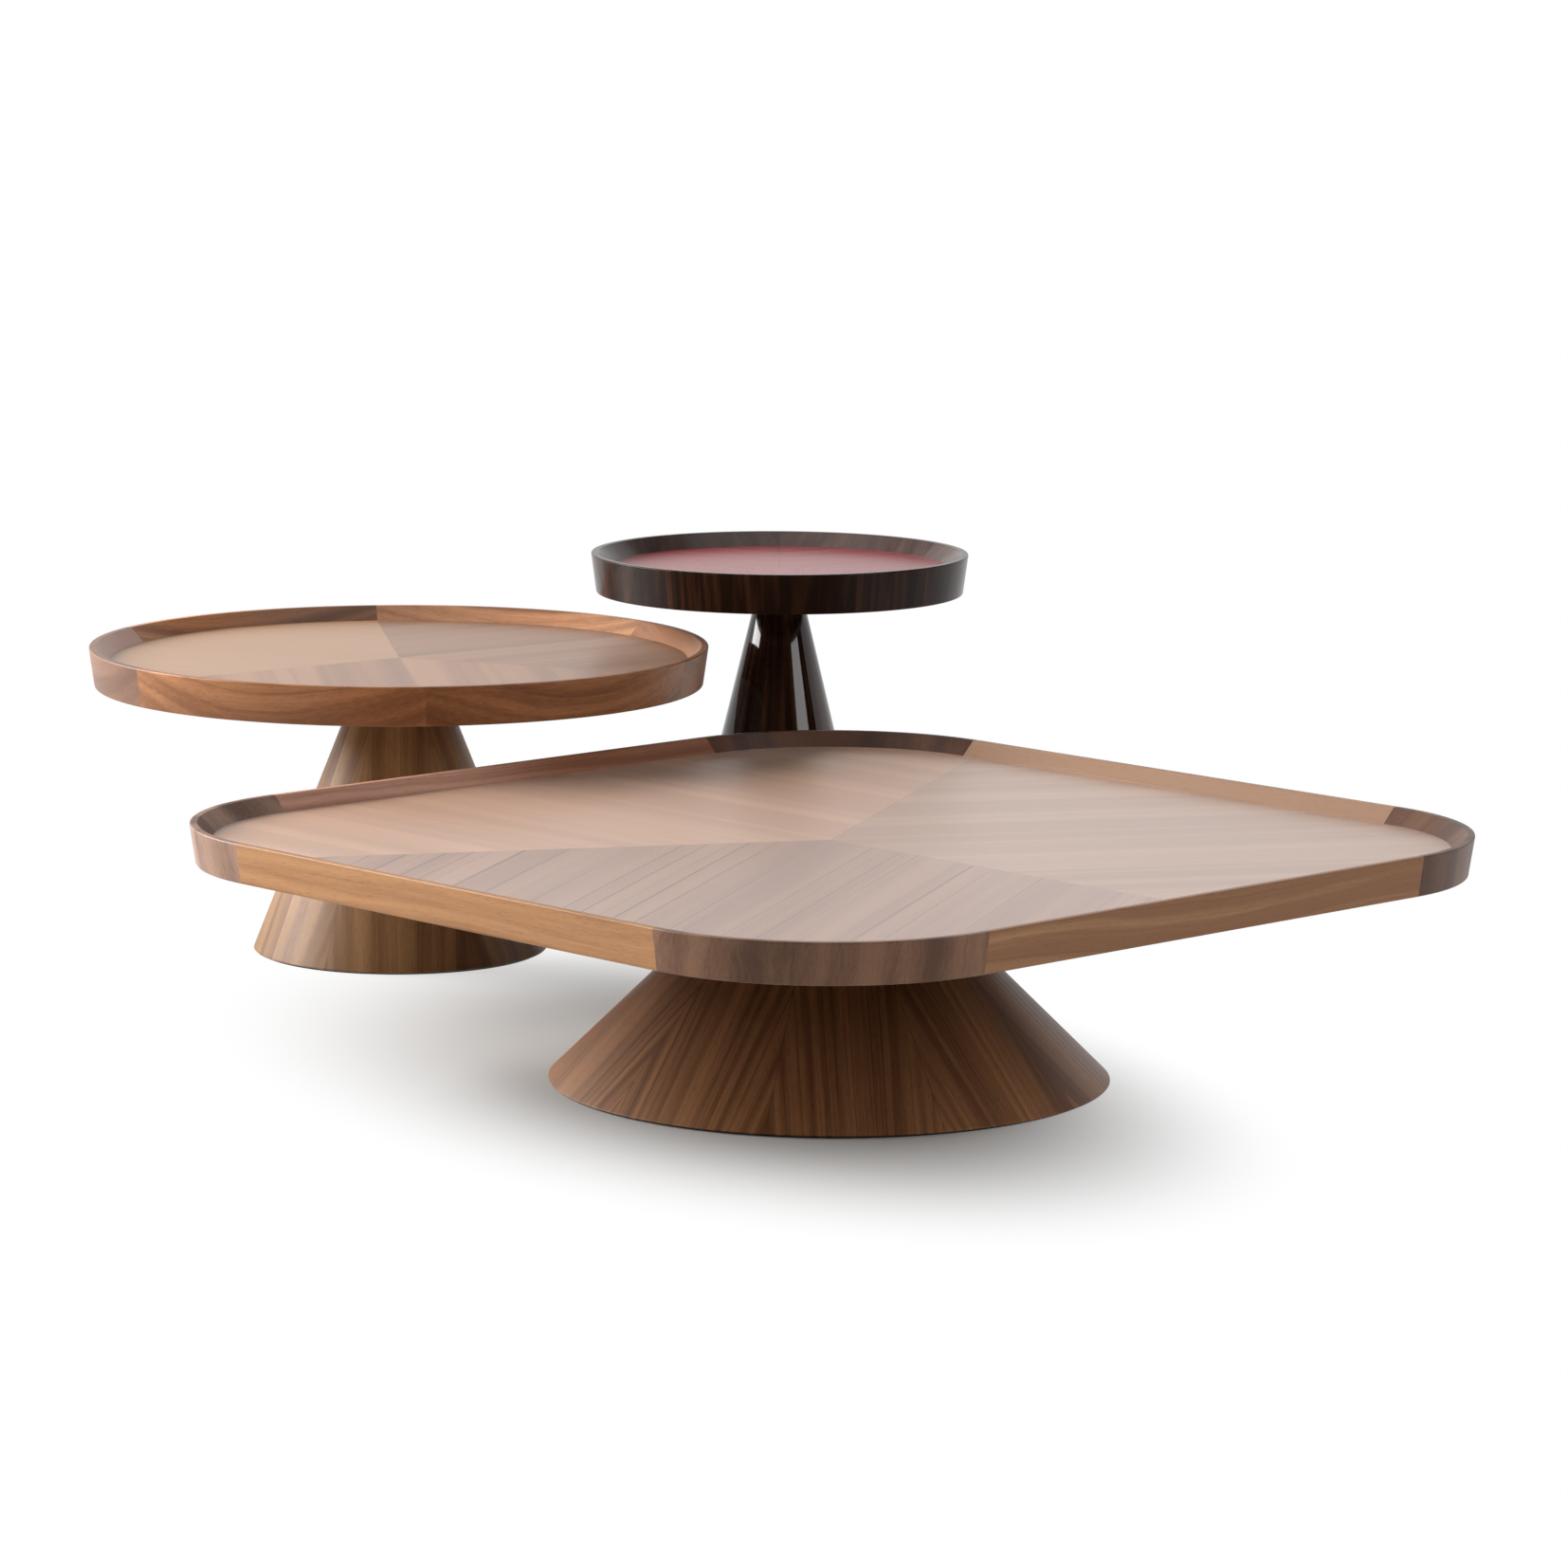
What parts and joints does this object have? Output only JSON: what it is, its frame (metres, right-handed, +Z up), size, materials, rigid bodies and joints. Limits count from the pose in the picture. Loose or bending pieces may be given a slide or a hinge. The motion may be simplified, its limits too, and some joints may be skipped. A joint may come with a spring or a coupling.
{
  "type": "nesting tables",
  "caption": "Low nesting tray tables on cone pedestals at stepped heights: a wide rounded-square walnut one, a round walnut one and a small dark gloss one.",
  "frame": {"origin": "on the floor, at the middle of the large table's round foot", "axes": "+Z up; +X and +Y square to the large table's sides, +Y towards the two smaller tables"},
  "size_m": [1.4906, 1.9616, 0.5],
  "materials": {
    "walnut_solid": "solid walnut, satin oil, grain along each length",
    "walnut_dark_solid": "darker solid walnut, satin oil",
    "walnut_tray_veneer": "walnut veneer laid as a sunburst, satin lacquer",
    "walnut_cone_veneer": "walnut veneer strips running down the cone, satin lacquer",
    "dark_gloss_wood": "dark stained wood, high-gloss lacquer",
    "burgundy_gloss_veneer": "burgundy stained veneer, high-gloss lacquer",
    "plywood": "sealed plywood, dark stained where it shows",
    "black_steel": "black powder coat",
    "zinc_steel": "zinc plated",
    "black_felt": "dense felt"
  },
  "bodies": {
    "large_table": {"large_ballast_plate": "black_steel", "large_base_disc": "plywood", "large_cone": "walnut_cone_veneer", "large_floor_pad": "black_felt", "large_head_disc": "plywood", "large_mounting_plate": "black_steel", "large_plate_screws": "zinc_steel", "large_rim_back": "walnut_solid", "large_rim_corner_1": "walnut_dark_solid", "large_rim_corner_2": "walnut_dark_solid", "large_rim_corner_3": "walnut_dark_solid", "large_rim_corner_4": "walnut_dark_solid", "large_rim_front": "walnut_solid", "large_rim_left": "walnut_solid", "large_rim_right": "walnut_solid", "large_tie_nut": "zinc_steel", "large_tie_rod": "zinc_steel", "large_tray_core": "plywood", "large_tray_leaf_1": "walnut_tray_veneer", "large_tray_leaf_2": "walnut_tray_veneer", "large_tray_leaf_3": "walnut_tray_veneer"},
    "medium_table": {"medium_ballast_plate": "black_steel", "medium_base_disc": "plywood", "medium_cone": "walnut_cone_veneer", "medium_floor_pad": "black_felt", "medium_head_disc": "plywood", "medium_mounting_plate": "black_steel", "medium_plate_screws": "zinc_steel", "medium_rim_length_1": "walnut_solid", "medium_rim_length_2": "walnut_dark_solid", "medium_rim_length_3": "walnut_solid", "medium_rim_length_4": "walnut_solid", "medium_rim_length_5": "walnut_solid", "medium_rim_length_6": "walnut_solid", "medium_tie_nut": "zinc_steel", "medium_tie_rod": "zinc_steel", "medium_tray_core": "plywood", "medium_tray_leaf_1": "walnut_tray_veneer", "medium_tray_leaf_2": "walnut_tray_veneer", "medium_tray_leaf_3": "walnut_tray_veneer"},
    "small_table": {"small_ballast_plate": "black_steel", "small_base_disc": "plywood", "small_cone": "dark_gloss_wood", "small_floor_pad": "black_felt", "small_head_disc": "plywood", "small_mounting_plate": "black_steel", "small_plate_screws": "zinc_steel", "small_rim_length_1": "dark_gloss_wood", "small_rim_length_2": "dark_gloss_wood", "small_rim_length_3": "dark_gloss_wood", "small_rim_length_4": "dark_gloss_wood", "small_rim_length_5": "dark_gloss_wood", "small_rim_length_6": "dark_gloss_wood", "small_tie_nut": "zinc_steel", "small_tie_rod": "zinc_steel", "small_tray_core": "plywood", "small_tray_leaf_1": "burgundy_gloss_veneer", "small_tray_leaf_2": "burgundy_gloss_veneer", "small_tray_leaf_3": "burgundy_gloss_veneer"}
  },
  "joints": [
    {"name": "medium_table_slide", "type": "slide", "parent": "large_table", "child": "medium_table", "axis": [0, -1, 0], "range_m": [-0.15, 0.25]},
    {"name": "small_table_slide", "type": "slide", "parent": "large_table", "child": "small_table", "axis": [0, -1, 0], "range_m": [-0.15, 0.25]}
  ]
}
